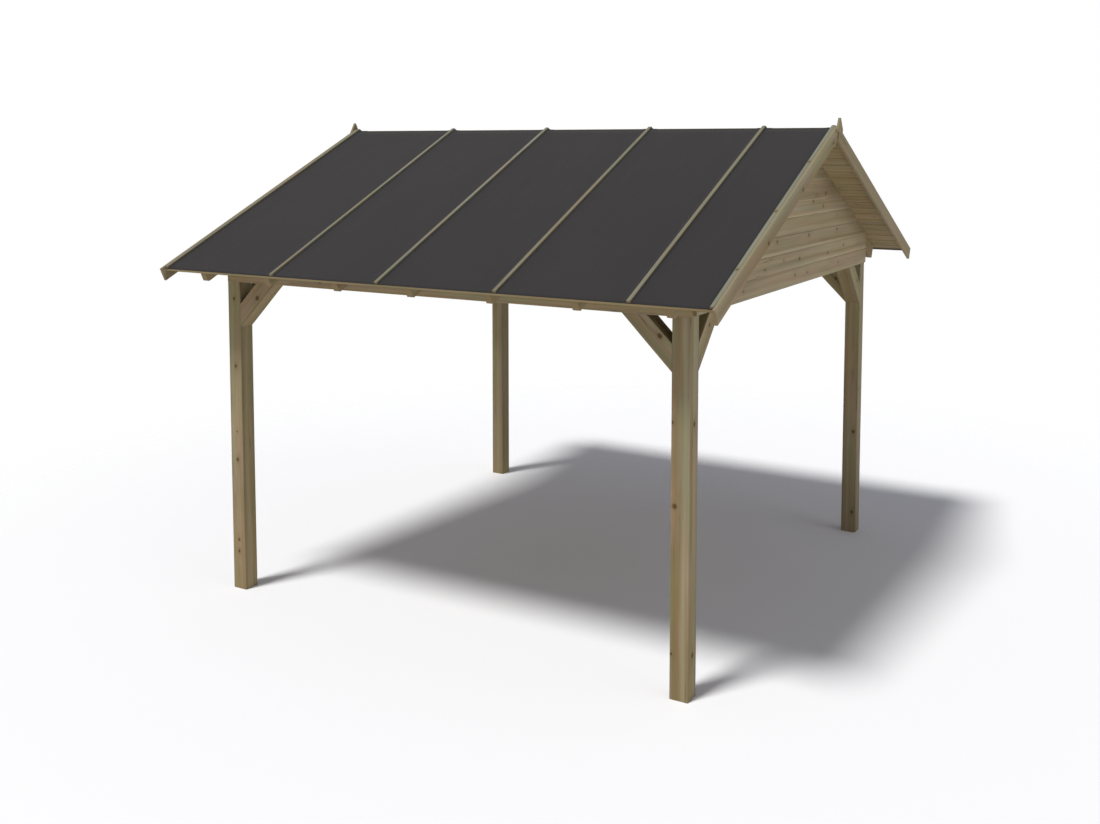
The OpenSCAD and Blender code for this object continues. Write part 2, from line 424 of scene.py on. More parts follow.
def pine(name, light, dark, contrast, vivid):
    """Pressure-treated pine. The growth rings are cylinders round the pith of
    each timber, so they run as lines along its faces and as arcs on its ends;
    they bend round each knot. Wide streaks, a green or pink cast, fine fibres
    and short drying checks lie over them. The tone of a board moves it between
    the dark and the light colour, and past dark to a darker brown still; a
    negative cut is weathered grey, and a positive one is sawn across the grain."""
    f = Finish(bpy.data.materials.new(name))
    grain, knot, board = f.attribute("grain"), f.attribute("knot"), f.attribute("board")
    along, across, deep = f.parts(grain)
    off_along, off_across, size = f.parts(knot)
    tone, cast, cut = f.parts(board)

    # growth rings, which bend round the nearest knot
    spread = (off_along / (size * 4.5)) ** 2 + (off_across / (size * 2.0)) ** 2
    swirl = (1 / (1 + spread)) ** 2
    wobble = f.noise(grain, (1.3, 8, 8), 2)
    radius = (across * across + deep * deep) ** 0.5 + (wobble - 0.5) * 0.020 + swirl * size * 1.5
    ring = f.wave(radius, 0.0052)
    broad_ring = f.wave(radius, 0.019)

    # streaks, fibres and patches between dark and light, then the casts
    streak = f.step(f.noise(grain, (0.40, 21, 21), 2), 0.34, 0.66)
    fine = f.noise(grain, (2.5, 150, 150), 3, 0.6)
    patch = f.noise(grain, (2.0, 9, 9), 1)
    amount = streak * 0.40 + broad_ring * 0.12 + (fine - 0.5) * 0.45 + ring * 0.10 + patch * 0.40 - 0.03
    colour = f.mix((amount - 0.5) * contrast + 0.5 + tone * 0.12, dark, light)
    hue = (f.noise(grain, (1.6, 16, 16), 1) - 0.50) * (2.2 * vivid) + cast * (0.20 * vivid)
    warmth = (f.noise(grain, (1.0, 24, 24), 1) - 0.5) * (2.0 * vivid)
    colour = f.mix(hue, colour, shade(126, 131, 88))
    colour = f.mix(0 - hue, colour, shade(163, 132, 107))
    colour = f.mix(warmth, colour, shade(140, 114, 66))
    colour = f.mix(0 - cut * 0.5 - warmth * 0.7, colour, shade(134, 130, 112))
    colour = f.mix(0 - tone * 0.25 - 1, colour, shade(70, 58, 35))

    # knots: a ragged oval heart with a dark rim
    colour = f.mix(swirl * 0.50, colour, shade(110, 96, 58))
    ragged = (f.noise(grain, (70, 70, 70), 2) - 0.5) * 0.5
    reach = ((off_along / size) ** 2 * 0.8 + (off_across / size) ** 2) ** 0.5 + ragged
    heart = 1 - f.step(reach, 0.60, 1.32)
    rim = heart * f.step(reach, 0.45, 0.95)

    # drying checks: in places, dark threads along the grain
    thread = (f.noise(grain, (0.9, 46, 46), 1) - 0.5).math("ABSOLUTE")
    where = f.step(f.noise(grain, (1.7, 13, 13), 1), 0.60, 0.68)
    check = (1 - f.step(thread, 0.003, 0.012)) * where
    colour = f.mix(check * 0.55, colour, shade(72, 56, 36))
    # sawn ends, and the knots over all
    sawn = f.mix(f.wave(radius, 0.0075) * 0.5, shade(140, 122, 88), shade(112, 95, 65))
    colour = f.mix(cut * 0.70, colour, sawn)
    colour = f.mix(heart * 0.84, colour, shade(80, 54, 27))
    colour = f.mix(rim * 0.40, colour, shade(58, 40, 22))

    height = (fine - 0.5) * 0.5 + ring * 0.16 - check * 1.2 - rim * 0.5 + heart * 0.2
    return f.surface(
        Base_Color=colour, Roughness=0.66 + fine * 0.22, Normal=f.bump(height, 0.0011, 0.8),
        Specular_IOR_Level=0.22)


def bitumen(name):
    """Roofing felt: dark grey with a fine mineral grain, faint cloudy patches
    and pale dust that has run a little way down the slope."""
    f = Finish(bpy.data.materials.new(name))
    place = f.node("TexCoord", out=3)
    grit = f.noise(place, (900, 900, 900), 1, 0.6)
    cloud = f.noise(place, (1.4, 0.9, 0.9), 3)
    runs = f.noise(place, (16, 1.1, 1.1), 2)
    colour = f.mix(f.step(cloud, 0.3, 0.7), shade(41, 39, 40), shade(43, 41, 42))
    colour = f.mix(f.step(runs, 0.52, 0.75) * 0.10, colour, shade(60, 59, 58))
    colour = f.mix(f.step(grit, 0.30, 0.62) * 0.30 + 0.70, shade(28, 27, 28), colour)
    colour = f.mix(f.step(grit, 0.60, 0.74) * 0.25, colour, shade(67, 66, 66))
    height = grit * 0.4 + f.noise(place, (7, 3, 3), 2) * 2.5
    return f.surface(
        Base_Color=colour, Roughness=0.84 + grit * 0.1, Normal=f.bump(height, 0.0011, 0.9),
        Specular_IOR_Level=0.25)


def galvanised(name):
    """Zinc-coated nail heads, dulled and mottled with brown."""
    f = Finish(bpy.data.materials.new(name))
    place = f.node("TexCoord", out=3)
    mottle = f.noise(place, (350, 350, 350), 2)
    colour = f.mix(f.step(mottle, 0.40, 0.62), shade(70, 62, 54), shade(112, 108, 102))
    return f.surface(
        Base_Color=colour, Metallic=f.step(mottle, 0.4, 0.6) * 0.6, Roughness=0.45 + mottle * 0.3,
        Normal=f.bump(mottle, 0.0004))


FRAME_WOOD = pine("treated_pine_frame", shade(164, 149, 117), shade(113, 96, 65), 1.0, 0.8)
ROOF_WOOD = pine("treated_pine_rafters", shade(166, 149, 115), shade(120, 102, 70), 1.0, 0.6)
BOARD_WOOD = pine("treated_pine_roof_boards", shade(174, 156, 117), shade(124, 105, 70), 0.7, 0.6)
CLAD_WOOD = pine("treated_pine_cladding", shade(176, 160, 129), shade(118, 102, 74), 0.75, 0.45)
TRIM_WOOD = pine("treated_pine_bargeboards", shade(160, 146, 118), shade(114, 99, 72), 1.0, 0.7)
LATH_WOOD = pine("grey_pine_laths", shade(130, 132, 124), shade(96, 98, 89), 1.0, 0.5)
FELT = bitumen("mineral_felt")
ZINC = galvanised("galvanised_nails")

# ------------------------------------------------------------- the posts
# knots as side, height, across, size; bands as side, across, half width,
# tone, cast, grey, height, half length; on the front posts some are painted light and shade
POST_KNOTS = {
    "front_left": [(1, 0.285, 0.0, 0.0106), (1, 0.372, 0.0, 0.0094), (1, 0.98, 0.003, 0.0119),
                   (1, 1.19, 0.004, 0.0056), (1, 1.68, 0.002, 0.0106), (1, 2.18, -0.002, 0.0106)],
    "front_right": [(1, 0.28, -0.050, 0.0081), (1, 1.18, -0.034, 0.0150), (1, 1.68, -0.052, 0.0081),
                    (2, 0.27, 0.003, 0.0150), (2, 1.67, 0.003, 0.0150)],
    "back_right": [(1, 0.175, 0.030, 0.0105), (1, 0.872, 0.030, 0.0128), (2, 0.403, 0.03, 0.0088),
                   (2, 1.24, -0.04, 0.0075), (2, 1.93, -0.045, 0.0088)],
    "back_left": [],
}
POST_BANDS_AND_PAINTED_LIGHT = {
    "front_left": [
        (1, -0.035, 0.022, 0.3, 1.0, 0.0, 0.30, 0.50), (1, -0.028, 0.024, 0.7, 1.9, 0.0, 1.00, 0.26),
        (1, 0.032, 0.026, 0.1, -1.1, 0.0, 0.90, 0.90), (1, -0.032, 0.017, -2.4, -0.5, 0.0, 1.42, 0.08),
        # painted light: the wide pale band at 1.68 m lifts the front face where the eave's shadow falls
        (1, 0.0, 0.045, 0.3, -0.9, 0.0, 1.28, 0.13), (1, 0.0, 0.080, 1.6, 0.6, 0.0, 1.68, 0.25),
        (1, 0.034, 0.022, -0.6, -0.9, 0.0, 2.00, 0.20), (1, -0.02, 0.030, 0.6, 1.0, 0.0, 2.05, 0.20),
        # painted shade: the wide dark band at the foot darkens the sunlit part of the front face
        (1, 0.01, 0.070, -0.9, 0.0, 0.0, 0.20, 0.75),
        (2, -0.050, 0.014, -1.4, -0.9, -0.4, 1.0, LONG), (2, -0.014, 0.015, 3.0, 0.0, 0.5, 0.3, LONG),
        (2, 0.034, 0.016, -0.9, 0.4, 0.3, 1.1, LONG), (2, -0.035, 0.018, 0.2, 1.6, -0.5, 0.68, 0.26),
        (2, 0.040, 0.020, 0.3, 2.0, 0.0, 1.75, 0.20), (2, 0.01, 0.028, 0.0, -1.3, 0.0, 1.26, 0.13),
        (2, 0.0, 0.080, -0.6, 0.0, 0.0, 0.40, 0.50), (2, 0.0, 0.090, 1.5, 0.0, 0.0, 1.1, LONG),
        (2, -0.05, 0.016, 0.0, 1.6, 0.0, 1.3, 0.6)],
    "front_right": [
        (1, 0.026, 0.017, 3.8, 0.2, 0.5, 1.0, LONG), (1, -0.016, 0.024, -2.3, -0.5, -0.5, 0.9, LONG),
        (1, -0.054, 0.011, 0.5, -0.3, 0.0, 0.6, LONG), (1, -0.030, 0.022, 0.2, 1.5, 0.0, 0.62, 0.20),
        (1, 0.022, 0.022, 0.5, -1.6, 0.5, 0.42, 0.13), (1, -0.030, 0.020, 0.4, -1.4, 0.0, 1.14, 0.15),
        # painted light: the wide pale band at 1.72 m lifts the front face where the eave's shadow falls
        (1, 0.0, 0.060, 1.5, 1.5, 0.2, 1.72, 0.18), (1, 0.030, 0.020, 0.4, 1.5, 0.2, 1.33, 0.16),
        # painted shade: the wide dark band at the foot darkens the sunlit part of the front face
        (1, 0.0, 0.080, -1.0, 0.0, 0.0, 0.15, 0.60), (1, 0.0, 0.090, 0.4, 0.0, 0.0, 1.2, 1.2),
        (2, 0.045, 0.026, 0.5, -0.3, 1.1, 1.0, LONG), (2, -0.030, 0.024, 0.5, 1.3, -0.2, 1.24, 0.20),
        (2, 0.030, 0.022, 0.6, -1.9, 0.4, 1.42, 0.09), (2, -0.020, 0.030, 0.5, -0.3, 0.0, 0.75, 0.30),
        (2, 0.0, 0.060, 1.0, 0.0, 0.5, 1.95, 0.35)],
    "back_right": [
        (1, -0.015, 0.016, 2.4, -0.3, 0.0, 1.0, LONG), (1, 0.030, 0.022, -0.2, 1.8, 0.0, 0.72, 0.20),
        (1, -0.045, 0.018, -0.9, -1.4, 0.3, 0.7, 0.7), (1, 0.035, 0.020, -0.9, -0.5, -0.3, 1.5, 0.40),
        (2, 0.0, 0.080, -0.3, 0.7, 1.1, 1.1, LONG), (2, -0.050, 0.016, -0.3, -0.6, -0.6, 1.2, LONG),
        (2, 0.030, 0.030, 0.0, 1.1, 0.5, 0.90, 0.50), (2, 0.0, 0.070, -0.8, 0.0, 0.3, 0.25, 0.25),
        (1, 0.0, 0.090, -0.9, 0.3, 0.0, 1.0, LONG), (2, 0.0, 0.090, -2.2, 0.0, 0.0, 1.0, LONG)],
    "back_left": [
        (1, 0.018, 0.024, 0.9, -0.9, 0.3, 0.45, 0.60), (1, 0.0, 0.080, 2.8, 0.0, 0.0, 1.1, 1.2),
        (1, 0.0, 0.090, 1.4, 0.0, 0.0, 1.5, 0.7), (1, 0.0, 0.045, -2.2, 1.0, -0.3, 1.40, 0.10),
        (1, -0.005, 0.040, 0.2, 1.5, 0.0, 1.08, 0.16), (1, -0.035, 0.018, 0.3, -1.0, 0.0, 0.55, 0.35),
        (1, -0.010, 0.035, 0.0, 1.2, 0.0, 0.06, 0.09),
        (2, -0.020, 0.050, -1.1, -1.8, 0.4, 0.78, 0.16), (2, -0.01, 0.050, -0.4, 1.6, -0.3, 0.10, 0.10),
        (2, 0.010, 0.070, 1.1, -0.6, 0.5, 0.8, LONG)],
}
for slope in SLOPES:
    for side in SIDES:
        name = f"{slope}_{side}"
        low, high = (np.array(c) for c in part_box("post_" + name))
        part = timber(
            (low + high) / 2 * (1, 1, 0), Z, Y, rounded(POST_W, POST_W, FRAME_EDGE), [(Z, 0)],
            [(Z, POST_H)], given=POST_KNOTS[name], every=NO_KNOTS, tone=(0.0, 0.0),
            pith=tuple(LOG.uniform(-0.02, 0.02, 2)), bands=POST_BANDS_AND_PAINTED_LIGHT[name])
        piece(f"post_{name}_timber", [part], [f"post_{name}"], FRAME_WOOD)


# ------------------------------------------------------- plates and beams
def beam(node, along, across, **looks):
    """A planed timber that fills the box of its node."""
    low, high = (np.array(c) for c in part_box(node))
    size = high - low
    part = timber(
        (low + high) / 2, along, Z, rounded(size @ across, size[2], EDGE), [(along, low @ along)],
        [(along, high @ along)], pith=tuple(LOG.uniform(-0.03, 0.03, 2)), **looks)
    piece(node + "_timber", [part], [node], FRAME_WOOD)


for slope in SLOPES:
    beam("wall_plate_" + slope, X, Y, every=0.6, tone=(0.8, -0.4))
for side in SIDES:
    beam("tie_beam_" + side, Y, X)

# ----------------------------------------------------------------- braces
# knots as side, place along the brace, across, size
BRACE_KNOTS = {
    "eave_brace_front_right": [(2, 0.204, 0.034, 0.0145)],
    "eave_brace_front_left": [(3, 0.277, -0.022, 0.0155)],
    "gable_brace_front_right": [(3, 0.291, 0.008, 0.010)],
}
OTHER_BRACES = [(2, 0.20, 0.02, 0.011), (3, 0.24, -0.02, 0.010)]
for kind, reach_axis in (("eave", X), ("gable", Y)):
    for slope, sy in SLOPES.items():
        for side, sx in SIDES.items():
            name = f"{kind}_brace_{slope}_{side}"
            low, high = (np.array(c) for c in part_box(name))
            middle = (low + high) / 2
            inward = reach_axis * (-sx if kind == "eave" else -sy)
            along = (inward + Z) / math.sqrt(2)
            reach = high[2] - low[2]
            where = corners(name)
            foot = (where @ inward).min()
            inset = POST_H - where[abs(where @ inward - foot) < 1e-4][:, 2].max()
            thick = (reach - inset) / math.sqrt(2)
            rise = POST_H - reach + thick / math.sqrt(2) - middle[2]
            part = timber(
                middle + inward * (foot - middle @ inward) + Z * rise, along, (Z - inward) / math.sqrt(2),
                rounded(POST_W, thick, FRAME_EDGE), [(inward, foot)], [(Z, POST_H)], every=NO_KNOTS,
                given=BRACE_KNOTS.get(name, OTHER_BRACES))
            piece(name + "_timber", [part], [name], FRAME_WOOD)

# ------------------------------------------------------------ ridge board
ridge_w = RIDGE_HIGH[1] - RIDGE_LOW[1]
ridge_side = RIDGE_HIGH[2] - ridge_w / 2 * TAN
middle = (RIDGE_LOW[2] + ridge_side) / 2
half = (ridge_side - RIDGE_LOW[2]) / 2
profile = [[-ridge_w / 2, -half], [ridge_w / 2, -half], [ridge_w / 2, half],
           [0, RIDGE_HIGH[2] - middle], [-ridge_w / 2, half]]
part = timber([0, 0, middle], X, Z, profile, [(X, RIDGE_LOW[0])], [(X, RIDGE_HIGH[0])])
piece("ridge_board_timber", [part], ["ridge_board"], ROOF_WOOD)


# ---------------------------------------------------------------- rafters
def rafter(x, side):
    """A rafter: upright outlines march from the ridge board down the slope.
    Their lower edge rises over the notch for the wall plate, and past it they
    lean over until the tail is square to the slope. A point at depth w under
    the upper edge lies lean * w * tan(pitch) further down."""
    tall = RAFTER_D / COS
    seat = (ROOF_TOP - tall - PLATE_TOP) / TAN
    tip = 0.012
    # from the ridge board to the seat, over it, and to the post's outer face
    y = np.array([ridge_w / 2, *np.linspace(0.12, seat - 0.02, 18), seat, HALF_DEPTH - 1e-5, HALF_DEPTH])
    foot = np.full(len(y), tall)
    foot[-3:-1] = ROOF_TOP - TAN * y[[-3, -1]] - PLATE_TOP
    # then the tail, which leans over step by step
    tail = np.array([0.3, 0.6, 0.85])
    start = HALF_DEPTH / COS
    down = np.concatenate([y / COS, start + tail * (TAIL_END - start), [TAIL_END - tip, TAIL_END]])[:, None]
    lean = np.concatenate([np.ones(len(y)), 1 - tail, [0.0, 0.0]])[:, None]
    depth = np.concatenate([foot * COS, [RAFTER_D] * 4, [RAFTER_D - tip * 0.7]])[:, None]
    unit = divided(rounded(RAFTER_W, 1.0, EDGE), 0.12)
    v = np.broadcast_to(unit[:, 0], (len(down), len(unit)))
    edge = EDGE * np.sign(unit[:, 1])
    w = (unit[:, 1] - edge) / (1 - 2 * EDGE) * (depth - 2 * EDGE) + edge - depth / 2
    w = np.minimum(w, 0)
    s = down - lean * w * TAN
    points = on_slope(side, x + v[..., None], s[..., None], w[..., None])
    local = np.stack([s, v, w + RAFTER_D / 2], -1)
    knots = scattered(TAIL_END, (RAFTER_W, RAFTER_D), [], 0.4, (0.004, 0.007))
    bands = banded(TAIL_END, (RAFTER_W, RAFTER_D), [])
    if side > 0:
        points, local, unit = points[:, ::-1], local[:, ::-1], unit[::-1]
    made = tube(points, local, unit, knots, LOG.uniform(-1, 1, 2), (), bands)
    made["grain"] = made["grain"] + (LOG.uniform(0, 40), LOG.uniform(-0.02, 0.02), LOG.uniform(0.02, 0.06))
    return made


for i in range(1, RAFTERS + 1):
    low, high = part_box(f"rafter_pair_{i}")
    parts = [rafter((low.x + high.x) / 2, side) for side in (-1, 1)]
    piece(f"rafter_pair_{i}_timber", parts, [f"rafter_pair_{i}"], ROOF_WOOD)

# ------------------------------------------------------------ roof boards
# width that a matched board covers, the gap in each joint, and how deep the
# V of a joint is under the roof and on the gables
COVER, JOINT = 0.120, 0.0004
ROOF_GROOVE, CLAD_GROOVE = 0.005, 0.0022
# the undersides of the lowest boards are darker along the eaves: how far up the boards, and how dark
EAVE_DARK_REACH, EAVE_DARKENING = 0.065, 9.0


def matchboard(thick, groove):
    """Outline of a matched board: square back, face edges cut back at 45
    degrees, so that two boards side by side make a V on the face side."""
    half = COVER / 2 - JOINT / 2
    return np.array([
        [-half, thick / 2], [half, thick / 2], [half, groove - thick / 2], [half - groove, -thick / 2],
        [groove - half, -thick / 2], [-half, groove - thick / 2]])


for slope, side in SLOPES.items():
    parts = []
    for i in range(math.ceil(LAY_END / COVER)):
        top, foot = LAY_END - (i + 1) * COVER, LAY_END - i * COVER
        ring = matchboard(BOARD_T, ROOF_GROOVE)
        if top < 0:
            # the board at the ridge is cut narrower
            ring[:, 0] = np.clip(ring[:, 0], -COVER / 2 - top + JOINT, None)
            ring[:, 0] *= -side
        board = timber(
            on_slope(side, 0, (top + foot) / 2, BOARD_T / 2), X, off_slope(side), ring,
            [(X, LAY_X0)], [(X, LAY_X1)], every=0.6, radius=(0.005, 0.010), bow=0.0002,
            spacing=0.12, tone=LOG.uniform(-1, 1, 2) - (0.1, 0))
        if i == 0:
            # the underside darkens by exp(-(distance up / reach)^4)
            at = board["points"][board["quads"]] - Z * ROOF_TOP
            under = (at @ off_slope(side)).max(1, keepdims=True) < ROOF_GROOVE + 0.001
            weight = under * np.exp(-((LAY_END - at @ down_slope(side)) / EAVE_DARK_REACH) ** 4)
            board["board"][:, 0] -= EAVE_DARKENING * weight.ravel()
        parts.append(board)
    piece(f"roof_boards_{slope}_planks", parts, [f"roof_boards_{slope}"], BOARD_WOOD)

# ------------------------------------------------------------------ felt
lath_x = []
for i in range(1, LATHS + 1):
    low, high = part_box(f"lath_pair_{i}")
    lath_x.append((low.x + high.x) / 2)
# the joints of the strips are under the inner laths, and they lap by twice this
LAP = 0.05
STRIPS = LATHS - 1
SHEET = (FELT_LEVEL - BOARD_T) / 2
for slope, side in SLOPES.items():
    parts = []
    for i in range(STRIPS):
        left = LAY_X0 if i == 0 else lath_x[i] - LAP
        right = LAY_X1 if i == STRIPS - 1 else lath_x[i + 1] + LAP
        # lines along the strip are closer together at its raised edges
        across = np.array([left, left + 0.04, left + 2 * LAP, left + 2 * LAP + 0.02,
                           *np.linspace(left + 0.2, right - 0.2, 7), right - 0.08, right - 0.05, right])
        raised = np.array([1.0, 1, 1, *[0] * 9, i == STRIPS - 1, i == STRIPS - 1])
        rest = BOARD_T + SHEET * raised
        down = np.concatenate([[0.0], np.linspace(0.06, LAY_END - 0.03, 22), [LAY_END]])[:, None]
        # between its edges the upper face stands 0.25 (1 + wave) of a sheet
        # higher, where the wave is the product of two slanting sines
        wave = np.sin(5.1 * down + 7 * across) * np.sin(3.3 * down - 4 * across + i)
        lift = 0.25 * SHEET * (1 - raised) * (1 + wave) * (down > 0) * (down < LAY_END)
        over = np.concatenate([across, across[::-1]])
        level = np.concatenate([np.broadcast_to(rest, lift.shape) + SHEET + lift,
                                np.broadcast_to(rest[::-1], lift.shape)], axis=1)
        level = np.minimum(level, FELT_LEVEL)
        # the upper end is upright, so that both slopes meet over the ridge
        s = down + np.where(down == 0, -level * TAN, 0)
        points = on_slope(side, over[:, None], s[..., None], level[..., None])
        local = np.stack(np.broadcast_arrays(s, over, level), -1)
        ring = np.stack([over, level[0]], -1)
        if side > 0:
            points, local, ring = points[:, ::-1], local[:, ::-1], ring[::-1]
        parts.append(tube(points, local, ring, curved=range(len(ring))))
    piece(f"roof_felt_{slope}_strips", parts, [f"roof_felt_{slope}"], FELT)

# ---------------------------------------------------------- laths and trim
# nails as distance up the slope from the eave, and tone, cast and weathering
# of each lath
LATH_NAILS = (0.39, 1.10, 1.80, 2.28)
LATH_LOOKS = [
    (-1.0, 0.2, 0.4), (0.8, 0.0, 0.1), (0.7, 0.1, 0.1),
    (-1.1, 0.0, 0.6), (-1.5, 0.2, 0.8), (-0.5, 2.6, 0.5)]
for i, look in enumerate(LATH_LOOKS, 1):
    node = f"lath_pair_{i}"
    x0, x1, low, high, reach = span(node)
    parts = []
    for side in (-1, 1):
        # the last lath has knots beside its nails
        given = [(0, LAY_END - up, 0.0, 0.0088) for up in LATH_NAILS[:3]] if i == LATHS else []
        parts.append(timber(
            on_slope(side, (x0 + x1) / 2, 0, (low + high) / 2), down_slope(side), off_slope(side),
            rounded(x1 - x0, high - low, THIN_EDGE, 2), [(Y * side, GAP)],
            [(down_slope(side), reach - ROOF_TOP * SIN)], given=given,
            tone=look[:2] + LOG.uniform(-0.25, 0.25, 2), bow=0.0,
            bands=[(0, 0.0, WHOLE, 0.0, 0.0, look[2], 1.0, EVEN)]))
    piece(node + "_strips", parts, [node], LATH_WOOD)

# the weathered upper edges of all bargeboards and painted light on their lower
# edges, made paler as if lit from below; and the knots and bands of the two on the right
BARGE_WEATHERING_AND_PAINTED_LIGHT = [(0, 0.0, WHOLE, 0.3, 1.2, 1.5, 1.0, EVEN), (1, 0.0, WHOLE, 3.0, 0.3, 0.4, 1.0, EVEN)]
BARGE_KNOTS = {
    "front_right": [(2, 0.137, -0.020, 0.0105), (2, 0.843, -0.021, 0.0120), (2, 1.540, -0.026, 0.0125)],
}
BARGE_BANDS = {
    "front_right": [
        (2, 0.038, 0.020, 2.4, 0.8, 0.2, 1.2, LONG), (2, -0.030, 0.020, -1.0, 0.0, 0.0, 1.2, LONG),
        (2, 0.010, 0.020, 0.0, 1.4, 0.0, 0.40, 0.18), (2, -0.010, 0.025, 0.0, -1.2, 0.0, 0.95, 0.25)],
    "back_right": [
        (3, 0.038, 0.012, 0.0, 0.2, 1.0, 1.2, LONG), (3, 0.000, 0.040, 0.2, 1.0, 0.0, 0.55, 0.30),
        (3, -0.020, 0.020, 0.5, -1.2, 0.0, 0.28, 0.12), (3, -0.010, 0.030, 0.3, 0.8, 0.0, 1.30, 0.25),
        (3, 0.000, 0.050, 0.6, 0.0, 0.0, 1.9, 0.4), (3, 0.0, 0.090, 1.0, 0.0, 0.0, 1.0, LONG)],
}
for slope, side in SLOPES.items():
    for hand in SIDES:
        name = f"{slope}_{hand}"
        node = "bargeboard_" + name
        x0, x1, low, high, reach = span(node)
        part = timber(
            on_slope(side, (x0 + x1) / 2, 0, (low + high) / 2), down_slope(side), off_slope(side),
            rounded(x1 - x0, high - low, EDGE), [(Y * side, abs(corners(node)[:, 1]).min())],
            [(down_slope(side), reach - ROOF_TOP * SIN)], every=NO_KNOTS if hand == "right" else 0.6,
            given=BARGE_KNOTS.get(name, ()), bow=0.0, bands=[*BARGE_WEATHERING_AND_PAINTED_LIGHT, *BARGE_BANDS.get(name, ())])
        piece(node + "_board", [part], [node], TRIM_WOOD)

for hand, sx in SIDES.items():
    node = f"apex_point_{hand}"
    where = corners(node)
    low, high = where.min(0), where.max(0)
    tip = where[abs(where[:, 2] - high[2]) < 1e-4][:, 1].max()
    shoulder = np.unique(where[abs(where[:, 1] - high[1]) < 1e-4][:, 2].round(5)).max()
    # half of the outline, from the foot up to the tip, as (y, z): over the
    # shoulder it narrows by the part rise^0.9
    rise = np.linspace(0, 1, 9)
    half = np.concatenate([[[high[1] - THIN_EDGE, low[2]], [high[1], low[2] + THIN_EDGE]],
                           np.stack([high[1] + (tip - high[1]) * rise ** 0.9,
                                     shoulder + (high[2] - shoulder) * rise], -1)])
    outline = np.concatenate([half, half[::-1] * (-1, 1)])
    outline = outline if sx > 0 else outline[::-1]
    centre = outline.mean(0)
    thick = high[0] - low[0]
    depth = np.array([0, THIN_EDGE, thick - THIN_EDGE, thick])
    inset = np.array([1, 0, 0, 1]) * 0.75 * THIN_EDGE
    inner = sx * (low[0] if sx > 0 else high[0])
    toward = (centre - outline) / np.linalg.norm(centre - outline, axis=1)[:, None]
    ring = outline + inset[:, None, None] * toward
    points = np.stack(np.broadcast_arrays(
        sx * (inner + depth[:, None]), ring[..., 0], ring[..., 1]), -1)
    local = np.stack(np.broadcast_arrays(ring[..., 1], ring[..., 0], depth[:, None]), -1)
    part = tube(points, local - [low[2], 0, 0.03], outline, tone=(0.1 + 0.4 * sx, 0.2 - 1.0 * sx))
    made = piece(node + "_board", [part], [node], TRIM_WOOD)
    # the two faces show long grain, not a sawn end, paler and greyer to the tip
    flags = np.empty(len(made.data.loops) * 3, np.float32)
    made.data.attributes["board"].data.foreach_get("vector", flags)
    corner = np.empty(len(made.data.loops), np.int32)
    made.data.loops.foreach_get("vertex_index", corner)
    rise = (part["points"][corner, 2] - low[2]) / (high[2] - low[2])
    flags[::3] += 2.0 * rise ** 3
    flags[2::3] = -2.0 * rise ** 2
    made.data.attributes["board"].data.foreach_set("vector", flags)

# --------------------------------------------------------------- cladding
# knots as place along the gable, height over the board's middle and size
CLAD_KNOTS = {
    0: [(-0.042, 0.010, 0.0092), (0.237, 0.003, 0.0063), (1.012, 0.010, 0.0069), (-1.055, 0.001, 0.0069)],
    1: [(-0.663, -0.019, 0.0092), (0.053, -0.001, 0.0109), (0.728, -0.015, 0.0092), (-0.288, 0.013, 0.0063),
        (1.145, 0.015, 0.0080)],
    2: [(-0.613, 0.033, 0.0098), (-0.430, 0.033, 0.0098), (0.262, 0.033, 0.0109), (0.962, 0.033, 0.0098)],
    4: [(0.353, 0.035, 0.0098), (0.595, -0.011, 0.0086)],
    5: [(0.653, -0.034, 0.0132)],
}
# tone and cast of the boards from the lowest one up, the last for all above it
CLAD_TONES = [
    (-0.2, -0.8), (-0.4, 0.0), (-1.4, 0.9), (1.1, 0.0), (-0.1, -0.2), (-1.0, -0.9), (-0.6, 0.4), (0.2, 0.0)]
# bands as board, height over its middle, half width, tone, cast, grey, place
# along the gable and half length. The pale bands along the lower edge of each
# board are a painted highlight, light caught on a lip that the boards do not
# have, and the thin dark lines are painted shadow under such a lip.
CLAD_BANDS_AND_PAINTED_LIGHT = [
    (0, -0.053, 0.01, 2.7, 1.2, 0.9, 0.00, LONG), (0, 0.001, 0.022, -0.8, -1.2, 0.0, 0.65, 0.9),
    (0, 0.013, 0.014, -1.3, -0.6, 0.0, -1.06, 0.12), (0, 0.005, 0.016, -1.1, -0.4, 0.0, -0.46, 0.1),
    (0, -0.037, 0.022, 0.2, 1.8, 0.0, -1.21, 0.25),
    (1, -0.057, 0.015, 3.8, 0.0, 0.3, 0.00, LONG), (1, -0.010, 0.0045, -1.3, 0.0, 0.0, 0.00, LONG),
    (1, 0.023, 0.02, 0.1, -0.5, 0.0, 0.20, LONG), (1, -0.042, 0.014, 0.6, 1.6, 0.0, -0.85, 0.3),
    (2, -0.053, 0.012, 5.1, 0.4, 0.3, 0.00, LONG), (2, -0.027, 0.0045, -1.2, 0.0, 0.0, 0.00, LONG),
    (2, 0.008, 0.026, -0.5, 1.3, -0.3, -0.06, 0.3), (2, 0.013, 0.02, -0.8, -0.6, 0.0, 0.74, 0.5),
    (3, -0.064, 0.004, -1.5, 0.0, 0.0, 0.00, LONG), (3, -0.041, 0.012, 4.5, 0.3, 0.3, 0.10, LONG),
    (3, 0.013, 0.02, 0.1, -0.7, 0.2, 0.24, 0.8),
    (4, -0.057, 0.012, 3.9, 0.1, 0.2, 0.20, LONG), (4, -0.007, 0.016, 0.8, 2.0, 0.7, 0.16, 0.35),
    (4, 0.033, 0.016, -0.5, -0.6, 0.0, 0.45, 0.5),
    (5, -0.055, 0.012, 0.5, 0.0, 0.0, 0.20, LONG), (5, 0.023, 0.02, -0.6, 0.8, -0.3, 0.50, LONG),
    (6, -0.053, 0.012, 0.9, 1.0, 0.0, 0.20, LONG), (7, -0.053, 0.012, 0.8, 0.0, 0.0, 0.20, LONG)]
